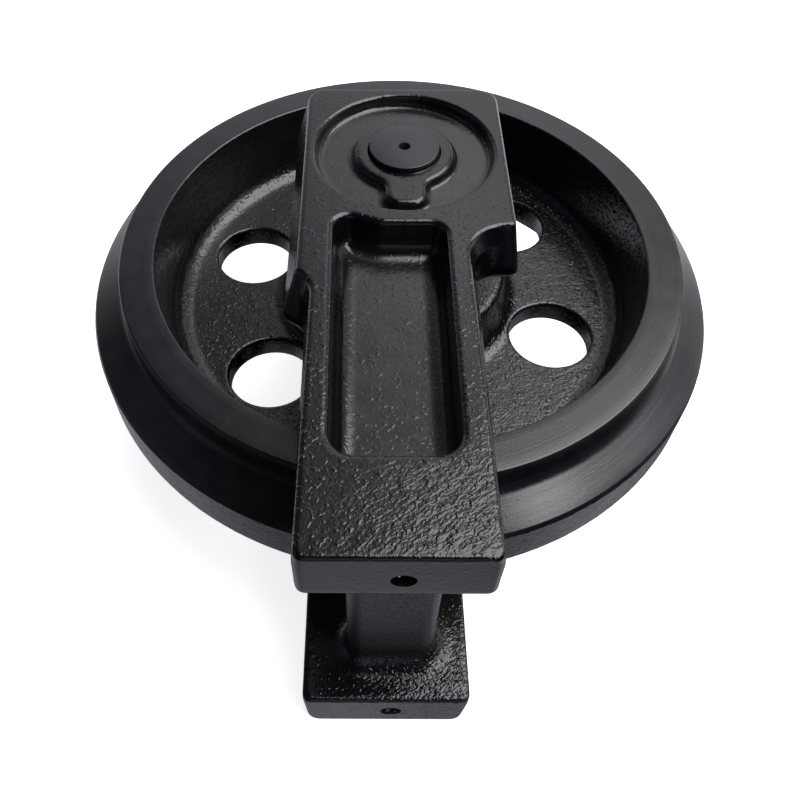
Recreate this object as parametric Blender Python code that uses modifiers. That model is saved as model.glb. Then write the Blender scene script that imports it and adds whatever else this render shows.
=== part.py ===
"""Front idler of a small tracked excavator, with its two carrier brackets.

The pieces stand at their real size in metres, +Z up.  The idler's axle is
vertical: the assembly lies on the outer face of its lower bracket, which is
the plane z = 0.  Lengths below are in millimetres and are scaled by MM.
Heights written as "h" are measured from the wheel's middle plane.
"""
import math

import bmesh
import bpy
from mathutils import Matrix, Vector

MM = 0.001

# ---------------------------------------------------------------- dimensions
AXLE_Y = 26.35           # axle position, so that the box is centred on y
MID_Z = 118.0            # height of the wheel's middle plane

FLANGE_R = 200.0         # guide flange
FLANGE_HALF = 14.0
TREAD_R = 178.0          # track running surface
RIM_HALF = 46.5          # half the rim's width
RIM_INNER_R = 156.5
WEB_TOP, WEB_BOTTOM = -4.0, -20.0
HOLE_R, HOLE_PCR, HOLE_FIRST = 26.7, 106.8, 40.0
COLLAR_TOP, COLLAR_BOTTOM = 28.0, -38.0
HUB_R, HUB_HALF = 46.0, 60.0
HUB_BORE_R, SEAL_BORE_R, SEAL_FLOOR = 26.3, 35.0, 42.0

SHAFT_R = 21.0
SHAFT_TOP, SHAFT_BOTTOM = 119.5, -117.5
OIL_BORE_R = 2.9
GROOVE_H, GROOVE_R, GROOVE_HALF = 86.0, 18.2, 1.8
PIN_H, PIN_R, PIN_HOLE_R = 104.5, 4.0, 4.3
PIN_DEEP = -9.0          # blind end of the pin's hole in the shaft

GAP = 0.3                # gap kept between touching pieces
FACE_H = 118.0           # outer face of a bracket
UPPER_INNER_H = 80.0     # inner face of the upper bracket's tail
LOWER_INNER_H = 78.5     # inner face of the lower bracket's tail
HEAD_INNER_H = 77.0      # inner face of a bracket's head
SEAL_BOSS_R, SEAL_BOSS_H = 45.0, 62.2
RECESS_R, RECESS_FLOOR = 51.7, 110.8
BOSS_TOP = 116.3
POCKET_FLOOR = 98.0
TAP_X, TAP_H, TAP_R, TAP_DEPTH = -5.9, 97.5, 5.2, 30.0
UPPER_END_Y, LOWER_END_Y = -252.7, -249.4

# Bracket outlines: x, y, corner radius, anticlockwise from the corner beyond
# the axle on the right.  FLAT is the edge of the plane outer face, SIDE the
# wall right under its rounding and WIDE the parting line of the casting.
UPPER_FLAT = [
    (56.5, 57.5, 9.5), (-55.7, 57.5, 9.5), (-55.7, -96.3, 1.5),
    (-48.0, -103.8, 19.5), (-48.9, -251.4, 3.0), (31.8, -251.4, 3.0),
    (29.8, -62.5, 23.5), (56.5, -62.5, 2.0)]
UPPER_WIDE = [
    (62.3, 64.5, 14.0), (-65.2, 64.5, 14.0), (-65.2, -101.0, 3.0),
    (-52.0, -110.5, 17.0), (-51.4, -252.7, 4.5), (34.6, -252.7, 4.5),
    (35.4, -68.5, 19.0), (62.3, -68.5, 3.0)]
LOWER_FLAT = [
    (56.5, 57.5, 9.5), (-55.7, 57.5, 9.5), (-55.7, -96.3, 1.5),
    (-48.0, -103.8, 19.5), (-48.5, -248.0, 3.0), (31.3, -248.0, 3.0),
    (29.8, -62.5, 23.5), (56.5, -62.5, 2.0)]
LOWER_SIDE = [
    (60.5, 61.5, 12.5), (-60.5, 61.5, 12.5), (-60.5, -99.5, 3.0),
    (-56.0, -108.5, 18.0), (-56.2, -249.4, 5.0), (37.9, -249.4, 5.0),
    (38.0, -66.5, 19.5), (60.5, -66.5, 3.0)]
LOWER_WIDE = [
    (62.3, 64.5, 14.0), (-65.2, 64.5, 14.0), (-65.2, -101.0, 3.0),
    (-57.4, -111.4, 17.0), (-57.5, -249.4, 5.0), (39.6, -249.4, 5.0),
    (39.4, -68.5, 19.0), (62.3, -68.5, 3.0)]
POCKET_OUTLINE = [
    (20.3, -62.0, 8.5), (-14.0, -62.0, 14.0), (-39.4, -52.5, 8.5),
    (-37.9, -205.2, 11.5), (20.3, -205.2, 11.5)]
LEG_OUTLINE = [
    (18.8, -206.0, 9.2), (-31.5, -206.0, 9.2),
    (-31.5, -225.5, 9.2), (18.8, -225.5, 9.2)]
HEAD_OUTLINE = [
    (57.5, 59.0, 11.0), (-60.0, 59.0, 11.0),
    (-60.0, -63.0, 9.0), (57.5, -63.0, 9.0)]

# ------------------------------------------------------------------ clean-up
for old in list(bpy.data.objects):
    bpy.data.objects.remove(old, do_unlink=True)

parts = bpy.data.collections.new("excavator_front_idler")
cutters = bpy.data.collections.new("cutters")
bpy.context.scene.collection.children.link(parts)
bpy.context.scene.collection.children.link(cutters)


def material(name, colour, rough, metal):
    mat = bpy.data.materials.new(name)
    mat.use_nodes = True
    bsdf = mat.node_tree.nodes["Principled BSDF"]
    bsdf.inputs["Base Color"].default_value = (*colour, 1.0)
    bsdf.inputs["Roughness"].default_value = rough
    bsdf.inputs["Metallic"].default_value = metal
    return mat


BLACK_CAST = material("black_painted_casting", (0.018, 0.018, 0.021), 0.42, 0.0)
BLACK_TURNED = material("black_painted_wheel", (0.020, 0.020, 0.022), 0.40, 0.0)
SHAFT_STEEL = material("shaft_steel", (0.025, 0.025, 0.027), 0.38, 0.2)
BRONZE = material("bush_bronze", (0.55, 0.36, 0.13), 0.35, 1.0)
SEAL_IRON = material("seal_ring_iron", (0.34, 0.34, 0.35), 0.25, 1.0)
RUBBER = material("seal_rubber", (0.015, 0.015, 0.015), 0.75, 0.0)
PIN_STEEL = material("pin_steel", (0.022, 0.022, 0.024), 0.45, 0.2)


def finish(ob, coll, mat=None):
    coll.objects.link(ob)
    if coll is cutters:
        ob.hide_render = True
        ob.display_type = "WIRE"
    if mat is not None:
        ob.data.materials.append(mat)
    return ob


def smooth(ob, degrees=35.0):
    ob.data.shade_smooth()
    ob.data.set_sharp_from_angle(angle=math.radians(degrees))


# --------------------------------------------------------- outline functions
def offset_outline(corners, off):
    """Corners of the outline moved outward by off (anticlockwise outline)."""
    count, out = len(corners), []
    for i, (x, y, r) in enumerate(corners):
        p, c, q = (Vector(corners[i - 1][:2]), Vector((x, y)),
                   Vector(corners[(i + 1) % count][:2]))
        a, b = (c - p).normalized(), (q - c).normalized()
        na, nb = Vector((a.y, -a.x)), Vector((b.y, -b.x))
        bis = (na + nb).normalized()
        new = c + bis * (off / bis.dot(na))
        convex = a.x * b.y - a.y * b.x > 0.0
        out.append((new.x, new.y, max(0.4, r + off if convex else r - off)))
    return out


def blend_outline(one, two, t):
    return [tuple(u + (v - u) * t for u, v in zip(a, b))
            for a, b in zip(one, two)]


def outline_points(corners, segments):
    """Points round the outline, each corner an arc of the same point count."""
    count, pts = len(corners), []
    for i, (x, y, r) in enumerate(corners):
        p, c, q = (Vector(corners[i - 1][:2]), Vector((x, y)),
                   Vector(corners[(i + 1) % count][:2]))
        a, b = (p - c).normalized(), (q - c).normalized()
        half = a.angle(b) / 2.0
        centre = c + (a + b).normalized() * (r / math.sin(half))
        run = r / math.tan(half)
        s, e = c + a * run - centre, c + b * run - centre
        a0, a1 = math.atan2(s.y, s.x), math.atan2(e.y, e.x)
        turn = (a1 - a0 + math.pi) % (2.0 * math.pi) - math.pi
        for k in range(segments + 1):
            ang = a0 + turn * k / segments
            pts.append((centre.x + r * math.cos(ang),
                        centre.y + r * math.sin(ang)))
    return pts


def circle_points(r, count):
    return [(r * math.cos(2 * math.pi * k / count),
             r * math.sin(2 * math.pi * k / count)) for k in range(count)]


def keyhole_points(off, segments):
    """Round boss with a short lobe toward the tail, moved outward by off."""
    ring, half, end, tip, fil = 29.2 + off, 11.7 + off, 44.5 + off, 8.5 + off, 7.5 - off
    fy = -math.sqrt((ring + fil) ** 2 - (half + fil) ** 2)
    pts = []
    start = math.atan2(fy, half + fil)
    stop = math.atan2(fy, -half - fil) + 2 * math.pi
    for k in range(3 * segments + 1):                 # round part, right to left
        a = start + (stop - start) * k / (3 * segments)
        pts.append((ring * math.cos(a), ring * math.sin(a)))
    a0 = math.atan2(-fy, half + fil)                  # left fillet
    for k in range(1, segments):
        a = a0 + (0.0 - a0) * k / segments
        pts.append((-half - fil + fil * math.cos(a), fy + fil * math.sin(a)))
    for k in range(segments + 1):                     # left corner of the lobe
        a = math.pi + 0.5 * math.pi * k / segments
        pts.append((-half + tip + tip * math.cos(a), -end + tip + tip * math.sin(a)))
    for k in range(segments + 1):                     # right corner of the lobe
        a = -0.5 * math.pi + 0.5 * math.pi * k / segments
        pts.append((half - tip + tip * math.cos(a), -end + tip + tip * math.sin(a)))
    for k in range(1, segments):                      # right fillet
        a = math.pi + (math.atan2(-fy, -half - fil) - math.pi) * k / segments
        pts.append((half + fil + fil * math.cos(a), fy + fil * math.sin(a)))
    return pts


def loft(name, rings, side, coll, mat=None):
    """Closed body through rings of equal point count; ring = (h, points).

    side is +1 for the upper bracket and -1 for its mirror image below."""
    bm = bmesh.new()
    levels = [[bm.verts.new((x * MM, (y + AXLE_Y) * MM, (MID_Z + side * h) * MM))
               for x, y in pts] for h, pts in rings]
    for low, high in zip(levels, levels[1:]):
        for k in range(len(low)):
            n = (k + 1) % len(low)
            bm.faces.new((low[k], low[n], high[n], high[k]))
    bm.faces.new(levels[0])
    bm.faces.new(levels[-1])
    bmesh.ops.recalc_face_normals(bm, faces=bm.faces)
    mesh = bpy.data.meshes.new(name)
    bm.to_mesh(mesh)
    bm.free()
    return finish(bpy.data.objects.new(name, mesh), coll, mat)


def arc_levels(radius, steps):
    """(sideways inset, drop) pairs along a quarter-round edge."""
    return [(radius * (1.0 - math.sin(0.5 * math.pi * k / steps)),
             radius * (1.0 - math.cos(0.5 * math.pi * k / steps)))
            for k in range(steps + 1)]


# ----------------------------------------------------------- turned function
def turned(name, profile, steps, coll, mat=None, closed=True):
    """Profile (radius, h) turned about the local Z axis."""
    mesh = bpy.data.meshes.new(name)
    verts = [(r * MM, 0.0, h * MM) for r, h in profile]
    edges = [(k, k + 1) for k in range(len(profile) - 1)]
    if closed:
        edges.append((len(profile) - 1, 0))
    mesh.from_pydata(verts, edges, [])
    ob = finish(bpy.data.objects.new(name, mesh), coll)
    screw = ob.modifiers.new("turn", "SCREW")
    screw.axis = "Z"
    screw.angle = 2.0 * math.pi
    screw.steps = screw.render_steps = steps
    screw.use_merge_vertices = True
    screw.merge_threshold = 0.00002
    screw.use_smooth_shade = True
    if mat is not None:
        mesh.materials.append(mat)
    return ob


def boolean(ob, other, operation):
    mod = ob.modifiers.new(other.name, "BOOLEAN")
    mod.object = other
    mod.operation = operation
    mod.solver = "EXACT"


def rod(name, radius, start, end, sides, coll, mat=None):
    """Cylinder between two points given as x, y, h about the axle."""
    a = Vector((start[0], start[1] + AXLE_Y, start[2] + MID_Z)) * MM
    b = Vector((end[0], end[1] + AXLE_Y, end[2] + MID_Z)) * MM
    bm = bmesh.new()
    bmesh.ops.create_cone(bm, cap_ends=True, segments=sides, radius1=radius * MM,
                          radius2=radius * MM, depth=(b - a).length)
    mesh = bpy.data.meshes.new(name)
    bm.to_mesh(mesh)
    bm.free()
    ob = finish(bpy.data.objects.new(name, mesh), coll, mat)
    ob.location = (a + b) / 2.0
    ob.rotation_euler = (b - a).to_track_quat("Z", "Y").to_euler()
    return ob


def fillet(corner, before, after, radius, steps):
    """Points of the rounding at a profile corner between two neighbours."""
    c, a, b = Vector(corner), Vector(before), Vector(after)
    u, v = (a - c).normalized(), (b - c).normalized()
    half = u.angle(v) / 2.0
    centre = c + (u + v).normalized() * (radius / math.sin(half))
    run = radius / math.tan(half)
    s, e = c + u * run - centre, c + v * run - centre
    a0, a1 = math.atan2(s.y, s.x), math.atan2(e.y, e.x)
    turn = (a1 - a0 + math.pi) % (2.0 * math.pi) - math.pi
    return [(centre.x + radius * math.cos(a0 + turn * k / steps),
             centre.y + radius * math.sin(a0 + turn * k / steps))
            for k in range(steps + 1)]


def rounded_profile(rows):
    """Profile points from (radius, h, rounding, steps) rows of a closed loop."""
    out, count = [], len(rows)
    for i, (r, h, fil, steps) in enumerate(rows):
        if fil <= 0.0:
            out.append((r, h))
        else:
            out += fillet((r, h), rows[i - 1][:2], rows[(i + 1) % count][:2],
                          fil, steps)
    return out


# ------------------------------------------------------------- axis empties
carrier = bpy.data.objects.new("carrier_frame", None)
parts.objects.link(carrier)
wheel_axis = bpy.data.objects.new("wheel_axis", None)
wheel_axis.location = (0.0, AXLE_Y * MM, MID_Z * MM)
parts.objects.link(wheel_axis)
axle_axis = bpy.data.objects.new("axle_axis", None)
axle_axis.location = (0.0, AXLE_Y * MM, MID_Z * MM)
parts.objects.link(axle_axis)

# -------------------------------------------------------------- idler wheel
wheel = turned("idler_wheel", rounded_profile([
    (SEAL_BORE_R + 1.2, HUB_HALF, 0, 0),
    (HUB_R, HUB_HALF, 2.0, 1),
    (HUB_R, COLLAR_TOP, 5.0, 1),
    (69.2, COLLAR_TOP, 4.0, 1),
    (74.6, WEB_TOP, 11.0, 2),
    (148.9, WEB_TOP, 13.0, 3),
    (RIM_INNER_R, RIM_HALF, 1.2, 1),
    (TREAD_R - 0.8, RIM_HALF, 1.4, 1),
    (TREAD_R, 28.98, 9.0, 2),
    (199.6, 15.85, 2.2, 1),
    (FLANGE_R, -FLANGE_HALF - 1.85, 2.2, 1),
    (TREAD_R, -28.98, 9.0, 2),
    (TREAD_R - 0.8, -RIM_HALF, 1.4, 1),
    (RIM_INNER_R, -RIM_HALF, 1.2, 1),
    (151.6, WEB_BOTTOM, 13.0, 2),
    (72.6, WEB_BOTTOM, 9.0, 2),
    (69.2, COLLAR_BOTTOM, 4.0, 1),
    (HUB_R, COLLAR_BOTTOM, 5.0, 1),
    (HUB_R, -HUB_HALF, 2.0, 1),
    (SEAL_BORE_R + 1.2, -HUB_HALF, 0, 0),
    (SEAL_BORE_R, -HUB_HALF + 1.2, 0, 0),
    (SEAL_BORE_R, -SEAL_FLOOR, 0, 0),
    (HUB_BORE_R, -SEAL_FLOOR, 0, 0),
    (HUB_BORE_R, -11.0, 0, 0),
    (30.0, -9.0, 0, 0),
    (30.0, 9.0, 0, 0),
    (HUB_BORE_R, 11.0, 0, 0),
    (HUB_BORE_R, SEAL_FLOOR, 0, 0),
    (SEAL_BORE_R, SEAL_FLOOR, 0, 0),
    (SEAL_BORE_R, HUB_HALF - 1.2, 0, 0)]), 60, parts, BLACK_TURNED)
wheel.parent = wheel_axis
for k in range(6):
    ang = math.radians(HOLE_FIRST + 60.0 * k)
    x, y = HOLE_PCR * math.cos(ang), HOLE_PCR * math.sin(ang)
    boolean(wheel, rod("web_hole_cut_%d" % k, HOLE_R, (x, y, -40.0),
                       (x, y, 20.0), 28, cutters), "DIFFERENCE")

# -------------------------------------------------------------- idler shaft
shaft = turned("idler_shaft", [
    (0.0, -6.0), (OIL_BORE_R, -4.0), (OIL_BORE_R, SHAFT_TOP - 0.9),
    (OIL_BORE_R + 0.9, SHAFT_TOP), (SHAFT_R - 1.4, SHAFT_TOP),
    (SHAFT_R - 0.4, SHAFT_TOP - 0.4), (SHAFT_R, SHAFT_TOP - 1.4),
    (SHAFT_R, GROOVE_H + GROOVE_HALF), (GROOVE_R, GROOVE_H + GROOVE_HALF),
    (GROOVE_R, GROOVE_H - GROOVE_HALF), (SHAFT_R, GROOVE_H - GROOVE_HALF),
    (SHAFT_R, -GROOVE_H + GROOVE_HALF), (GROOVE_R, -GROOVE_H + GROOVE_HALF),
    (GROOVE_R, -GROOVE_H - GROOVE_HALF), (SHAFT_R, -GROOVE_H - GROOVE_HALF),
    (SHAFT_R, SHAFT_BOTTOM + 1.4), (SHAFT_R - 1.4, SHAFT_BOTTOM),
    (0.0, SHAFT_BOTTOM)], 32, parts, SHAFT_STEEL, closed=False)
shaft.parent = axle_axis
boolean(shaft, rod("oil_cross_hole_cut", 2.5, (0.0, 0.0, 0.0),
                   (26.0, 0.0, 0.0), 12, cutters), "DIFFERENCE")
for tag, side in (("upper", 1), ("lower", -1)):
    boolean(shaft, rod("shaft_pin_hole_cut_" + tag, PIN_HOLE_R,
                       (0.0, -26.0, side * PIN_H), (0.0, PIN_DEEP, side * PIN_H),
                       18, cutters), "DIFFERENCE")

plug = rod("oil_plug", OIL_BORE_R - GAP, (0.0, 0.0, 98.0), (0.0, 0.0, 107.0),
           16, parts, PIN_STEEL)
boolean(plug, rod("plug_socket_cut", 1.4, (0.0, 0.0, 103.0), (0.0, 0.0, 112.0),
                  6, cutters), "DIFFERENCE")

# ------------------------------------- bushes, floating seals and their rings
def ring_torus(name, major, minor, h, around, section):
    pts = [(major + minor * math.cos(a), h + minor * math.sin(a))
           for a in (-2.0 * math.pi * (k + 0.5) / section for k in range(section))]
    return turned(name, pts, around, parts, RUBBER)


for tag, side in (("upper", 1), ("lower", -1)):
    def flip(points, s=side):
        """Mirror a closed profile below the middle plane, keeping its turn."""
        return points if s > 0 else [(r, -h) for r, h in reversed(points)]

    bush = turned("bush_" + tag, flip([
        (SHAFT_R + GAP, SEAL_FLOOR + 4.3), (31.0, SEAL_FLOOR + 4.3),
        (31.0, SEAL_FLOOR + GAP), (HUB_BORE_R - GAP, SEAL_FLOOR + GAP),
        (HUB_BORE_R - GAP, 12.5), (SHAFT_R + GAP, 12.5)]), 28, parts, BRONZE)
    bush.parent = wheel_axis
    spin = turned("rotating_seal_ring_" + tag, flip([
        (24.2, 60.85), (33.2, 60.85), (33.2, 58.6), (28.6, 56.4),
        (28.2, 48.6), (24.2, 48.6)]), 28, parts, SEAL_IRON)
    spin.parent = wheel_axis
    still = turned("static_seal_ring_" + tag, flip([
        (24.2, 73.4), (28.2, 73.4), (28.6, 65.6), (33.2, 63.4),
        (33.2, 61.15), (24.2, 61.15)]), 28, parts, SEAL_IRON)
    still.parent = axle_axis
    toric = ring_torus("rotating_toric_" + tag, 31.85, 2.65, side * 52.0, 24, 6)
    toric.parent = wheel_axis
    toric = ring_torus("static_toric_" + tag, 31.85, 2.65, side * 70.0, 24, 6)
    toric.parent = axle_axis
    oring = ring_torus("shaft_o_ring_" + tag, 19.75, 1.2, side * GROOVE_H, 24, 5)
    oring.parent = axle_axis
    pin = rod("lock_pin_" + tag, PIN_R, (0.0, -62.6, side * PIN_H),
              (0.0, PIN_DEEP - GAP - 0.1, side * PIN_H), 18, parts, PIN_STEEL)

# ------------------------------------------------------------------ brackets
def upper_sections():
    """(h, outline) of the upper bracket's wall, from its outer face inward."""
    side = offset_outline(UPPER_FLAT, 1.3)
    mid = blend_outline(side, UPPER_WIDE, 0.38)
    for k in (3, 6):
        mid[k] = (UPPER_WIDE[k][0], mid[k][1], mid[k][2])
    for k in (4, 5):
        mid[k] = UPPER_WIDE[k]
    return [(FACE_H, side), (FACE_H - 11.0, mid), (89.0, UPPER_WIDE), (60.0, UPPER_WIDE)]


def lower_sections():
    return [(FACE_H, LOWER_SIDE), (FACE_H - 8.0, LOWER_SIDE), (89.0, LOWER_WIDE),
            (60.0, LOWER_WIDE)]


def section_at(sections, h):
    """Outline of the wall at height h."""
    for (h0, one), (h1, two) in zip(sections, sections[1:]):
        if h >= h1:
            return blend_outline(one, two, min(1.0, max(0.0, (h0 - h) / (h0 - h1))))
    return sections[-1][1]


def bracket(tag, side, flat, sections, outer_edge, inner_edge, inner_h, end_y, steps):
    """One cast carrier bracket; outer_edge and inner_edge are its roundings."""
    seg = 3
    rings = []
    for k in range(steps + 1):
        a = 0.5 * math.pi * k / steps
        h = FACE_H - outer_edge * (1.0 - math.cos(a))
        rings.append((h, outline_points(
            blend_outline(flat, section_at(sections, h), math.sin(a)), seg)))
    for h, outline in sections[1:-1]:
        if inner_h + inner_edge + 1.0 < h < rings[-1][0] - 0.5:
            rings.append((h, outline_points(outline, seg)))
    wide = sections[-1][1]
    for inset, drop in reversed(arc_levels(inner_edge, 2)):
        rings.append((inner_h + drop,
                      outline_points(offset_outline(wide, -inset), seg)))
    body = loft("bracket_" + tag, rings, side, parts, BLACK_CAST)
    body.parent = carrier

    head = loft("head_pad_" + tag, [
        (90.0, outline_points(HEAD_OUTLINE, seg)),
        (HEAD_INNER_H + 3.0, outline_points(HEAD_OUTLINE, seg)),
        (HEAD_INNER_H + 0.9, outline_points(offset_outline(HEAD_OUTLINE, -0.9), seg)),
        (HEAD_INNER_H, outline_points(offset_outline(HEAD_OUTLINE, -3.0), seg))],
        side, cutters)
    boolean(body, head, "UNION")
    boolean(body, rod("seal_boss_" + tag, SEAL_BOSS_R, (0.0, 0.0, side * 95.0),
                      (0.0, 0.0, side * SEAL_BOSS_H), 40, cutters), "UNION")
    if side < 0:
        flare = [(off, drop) for off, drop in arc_levels(13.0, 4)]
        leg_rings = [(90.0, outline_points(offset_outline(LEG_OUTLINE, 13.0), 4))]
        leg_rings += [(LOWER_INNER_H - drop,
                       outline_points(offset_outline(LEG_OUTLINE, off), 4))
                      for off, drop in flare]
        leg_rings.append((-UPPER_INNER_H + GAP, outline_points(LEG_OUTLINE, 4)))
        leg = loft("leg_" + tag, leg_rings, side, cutters)
        boolean(body, leg, "UNION")

    recess = loft("recess_cut_" + tag, [
        (124.0, circle_points(RECESS_R + 0.8, 40)),
        (FACE_H, circle_points(RECESS_R + 0.8, 40)),
        (FACE_H - 1.2, circle_points(RECESS_R - 0.4, 40)),
        (RECESS_FLOOR + 2.6, circle_points(RECESS_R - 1.4, 40)),
        (RECESS_FLOOR + 0.8, circle_points(RECESS_R - 2.4, 40)),
        (RECESS_FLOOR, circle_points(RECESS_R - 4.2, 40))], side, cutters)
    boolean(body, recess, "DIFFERENCE")
    boss = loft("boss_" + tag, [
        (98.0, keyhole_points(1.2, 4)),
        (RECESS_FLOOR + 0.3, keyhole_points(1.2, 4)),
        (BOSS_TOP - 2.2, keyhole_points(0.0, 4)),
        (BOSS_TOP - 0.6, keyhole_points(-0.6, 4)),
        (BOSS_TOP, keyhole_points(-2.2, 4))], side, cutters)
    boolean(body, boss, "UNION")

    pocket = [(124.0, 2.6), (FACE_H, 2.6), (FACE_H - 0.7, 0.9), (FACE_H - 2.6, -0.3),
              (POCKET_FLOOR + 9.0, -2.2), (POCKET_FLOOR + 4.2, -3.6),
              (POCKET_FLOOR + 1.2, -6.6), (POCKET_FLOOR, -11.4)]
    cut = loft("pocket_cut_" + tag, [
        (h, outline_points(offset_outline(POCKET_OUTLINE, off), seg))
        for h, off in pocket], side, cutters)
    boolean(body, cut, "DIFFERENCE")

    boolean(body, rod("shaft_bore_" + tag, SHAFT_R + GAP, (0.0, 0.0, side * 55.0),
                      (0.0, 0.0, side * 124.0), 40, cutters), "DIFFERENCE")
    boolean(body, rod("seal_bore_" + tag, SEAL_BORE_R, (0.0, 0.0, side * 55.0),
                      (0.0, 0.0, side * 76.0), 40, cutters), "DIFFERENCE")
    boolean(body, rod("pin_hole_" + tag, PIN_HOLE_R, (0.0, -70.0, side * PIN_H),
                      (0.0, -12.0, side * PIN_H), 18, cutters), "DIFFERENCE")
    tap = turned("tap_" + tag, [
        (0.0, 1.0), (TAP_R + 1.9, 1.0), (TAP_R, -0.9), (TAP_R, -TAP_DEPTH),
        (0.0, -TAP_DEPTH - 2.6)], 20, cutters, closed=False)
    tap.location = (TAP_X * MM, (end_y + AXLE_Y) * MM, (MID_Z + side * TAP_H) * MM)
    tap.rotation_euler = (math.radians(90.0), 0.0, 0.0)
    boolean(body, tap, "DIFFERENCE")
    smooth(body)
    return body


bracket("upper", 1, UPPER_FLAT, upper_sections(), 1.3, 6.0, UPPER_INNER_H,
        UPPER_END_Y, 2)
bracket("lower", -1, LOWER_FLAT, lower_sections(), 8.0, 2.2, LOWER_INNER_H,
        LOWER_END_Y, 3)
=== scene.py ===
import math

import bmesh
import bpy
import numpy as np
from mathutils import Euler, Matrix, Vector


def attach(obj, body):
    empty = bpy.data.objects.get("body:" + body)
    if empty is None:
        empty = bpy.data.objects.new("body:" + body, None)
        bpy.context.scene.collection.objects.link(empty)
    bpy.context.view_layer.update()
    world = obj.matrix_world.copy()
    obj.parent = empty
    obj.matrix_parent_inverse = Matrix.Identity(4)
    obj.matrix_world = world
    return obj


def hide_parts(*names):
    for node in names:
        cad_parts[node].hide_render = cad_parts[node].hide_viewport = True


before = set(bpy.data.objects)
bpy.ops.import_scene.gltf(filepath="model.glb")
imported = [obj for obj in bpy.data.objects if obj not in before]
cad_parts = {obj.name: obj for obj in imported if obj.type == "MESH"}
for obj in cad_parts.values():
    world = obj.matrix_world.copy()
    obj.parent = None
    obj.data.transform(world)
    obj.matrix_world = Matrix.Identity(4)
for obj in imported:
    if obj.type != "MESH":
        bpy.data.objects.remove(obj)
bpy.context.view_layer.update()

MM = 0.001
AXLE_Y, MID_Z = 26.35, 118.0

FLANGE_R, TREAD_R, RIM_HALF, RIM_INNER_R = 200.0, 178.0, 46.5, 156.5
WEB_TOP, WEB_BOTTOM = -4.0, -20.0
HOLE_R, HOLE_PCR, HOLE_FIRST = 26.7, 106.8, 40.0
COLLAR_TOP, COLLAR_BOTTOM = 28.0, -38.0
HUB_R, HUB_HALF = 46.0, 60.0
HUB_BORE_R, SEAL_BORE_R, SEAL_FLOOR = 26.3, 35.0, 42.0
SHAFT_R, SHAFT_TOP, SHAFT_BOTTOM, OIL_BORE_R = 21.0, 119.5, -117.5, 2.9
GROOVE_H, GROOVE_R, GROOVE_HALF = 86.0, 18.2, 1.8
PIN_H, PIN_R, PIN_HOLE_R, PIN_DEEP, GAP = 104.5, 4.0, 4.3, -9.0, 0.3
FACE_H, UPPER_INNER_H, LOWER_INNER_H, HEAD_INNER_H = 118.0, 80.0, 78.5, 77.0
SEAL_BOSS_R, SEAL_BOSS_H = 45.0, 62.2
RECESS_R, RECESS_FLOOR, BOSS_TOP, POCKET_FLOOR = 51.7, 110.8, 116.3, 98.0
TAP_X, TAP_H, TAP_R, TAP_DEPTH = -5.9, 97.5, 5.2, 30.0
UPPER_END_Y, LOWER_END_Y = -252.7, -249.4

UPPER_FLAT = [
    (56.5, 57.5, 9.5), (-55.7, 57.5, 9.5), (-55.7, -96.3, 1.5),
    (-48.0, -103.8, 19.5), (-48.9, -251.4, 3.0), (31.8, -251.4, 3.0),
    (29.8, -62.5, 23.5), (56.5, -62.5, 2.0)]
UPPER_WIDE = [
    (62.3, 64.5, 14.0), (-65.2, 64.5, 14.0), (-65.2, -101.0, 3.0),
    (-52.0, -110.5, 17.0), (-51.4, -252.7, 4.5), (34.6, -252.7, 4.5),
    (35.4, -68.5, 19.0), (62.3, -68.5, 3.0)]
LOWER_FLAT = [
    (56.5, 57.5, 9.5), (-55.7, 57.5, 9.5), (-55.7, -96.3, 1.5),
    (-48.0, -103.8, 19.5), (-48.5, -248.0, 3.0), (31.3, -248.0, 3.0),
    (29.8, -62.5, 23.5), (56.5, -62.5, 2.0)]
LOWER_SIDE = [
    (60.5, 61.5, 12.5), (-60.5, 61.5, 12.5), (-60.5, -99.5, 3.0),
    (-56.0, -108.5, 18.0), (-56.2, -249.4, 5.0), (37.9, -249.4, 5.0),
    (38.0, -66.5, 19.5), (60.5, -66.5, 3.0)]
LOWER_WIDE = [
    (62.3, 64.5, 14.0), (-65.2, 64.5, 14.0), (-65.2, -101.0, 3.0),
    (-57.4, -111.4, 17.0), (-57.5, -249.4, 5.0), (39.6, -249.4, 5.0),
    (39.4, -68.5, 19.0), (62.3, -68.5, 3.0)]
POCKET_OUTLINE = [
    (20.3, -62.0, 8.5), (-14.0, -62.0, 14.0), (-39.4, -52.5, 8.5),
    (-37.9, -205.2, 11.5), (20.3, -205.2, 11.5)]
LEG_OUTLINE = [
    (18.8, -206.0, 9.2), (-31.5, -206.0, 9.2),
    (-31.5, -225.5, 9.2), (18.8, -225.5, 9.2)]
HEAD_OUTLINE = [
    (57.5, 59.0, 11.0), (-60.0, 59.0, 11.0),
    (-60.0, -63.0, 9.0), (57.5, -63.0, 9.0)]

scene = bpy.context.scene
look = bpy.data.collections.new("look")
scene.collection.children.link(look)


# ------------------------------------------------------------------- camera
def make_camera():
    data = bpy.data.cameras.new("photo_camera")
    data.sensor_width = 36.0
    data.lens = 830.73 / 800.0 * 36.0
    data.shift_x, data.shift_y = 0.0425, -0.0579
    data.clip_start, data.clip_end = 0.02, 30.0
    cam = bpy.data.objects.new("photo_camera", data)
    look.objects.link(cam)
    turn = (Matrix.Rotation(-0.0015, 3, "Z") @ Matrix.Rotation(0.6735, 3, "X")
            @ Matrix.Rotation(0.0059, 3, "Z"))
    place = Vector((-21.971, -390.420 + AXLE_Y, 417.635 + MID_Z)) * MM
    cam.matrix_world = Matrix.Translation(place) @ turn.to_4x4()
    scene.camera = cam


make_camera()


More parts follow.
